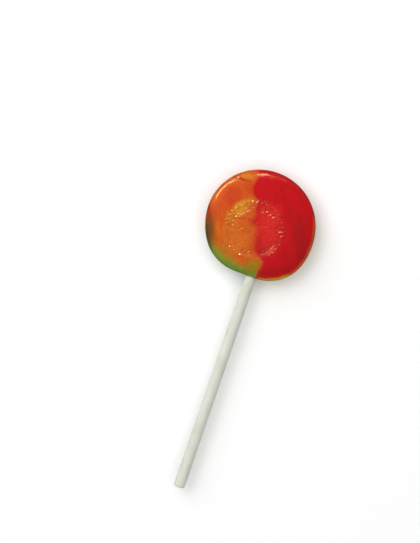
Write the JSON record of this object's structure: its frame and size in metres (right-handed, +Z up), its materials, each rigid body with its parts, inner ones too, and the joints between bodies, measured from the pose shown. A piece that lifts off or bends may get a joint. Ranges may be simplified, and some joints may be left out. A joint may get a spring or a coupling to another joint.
{
  "type": "lollipop",
  "caption": "Flat round lollipop of boiled sugar in blended fruit colours, on a plain rolled-paper stick that it is held by; it lies on its back.",
  "frame": {"origin": "on the surface the lollipop lies on, under the centre of its box", "axes": "+Y along the stick, from its free end towards the head; +Z up, out of the shown face; +X to the right as that face is seen with the stick towards the viewer"},
  "size_m": [0.0438, 0.1288, 0.013],
  "materials": {
    "boiled_sugar": "glossy, slightly translucent boiled sugar; orange, red, green and yellow run into each other",
    "rolled_paper": "matt off-white rolled paper"
  },
  "bodies": {
    "root": {"head": "boiled_sugar", "stick": "rolled_paper"}
  },
  "joints": []
}
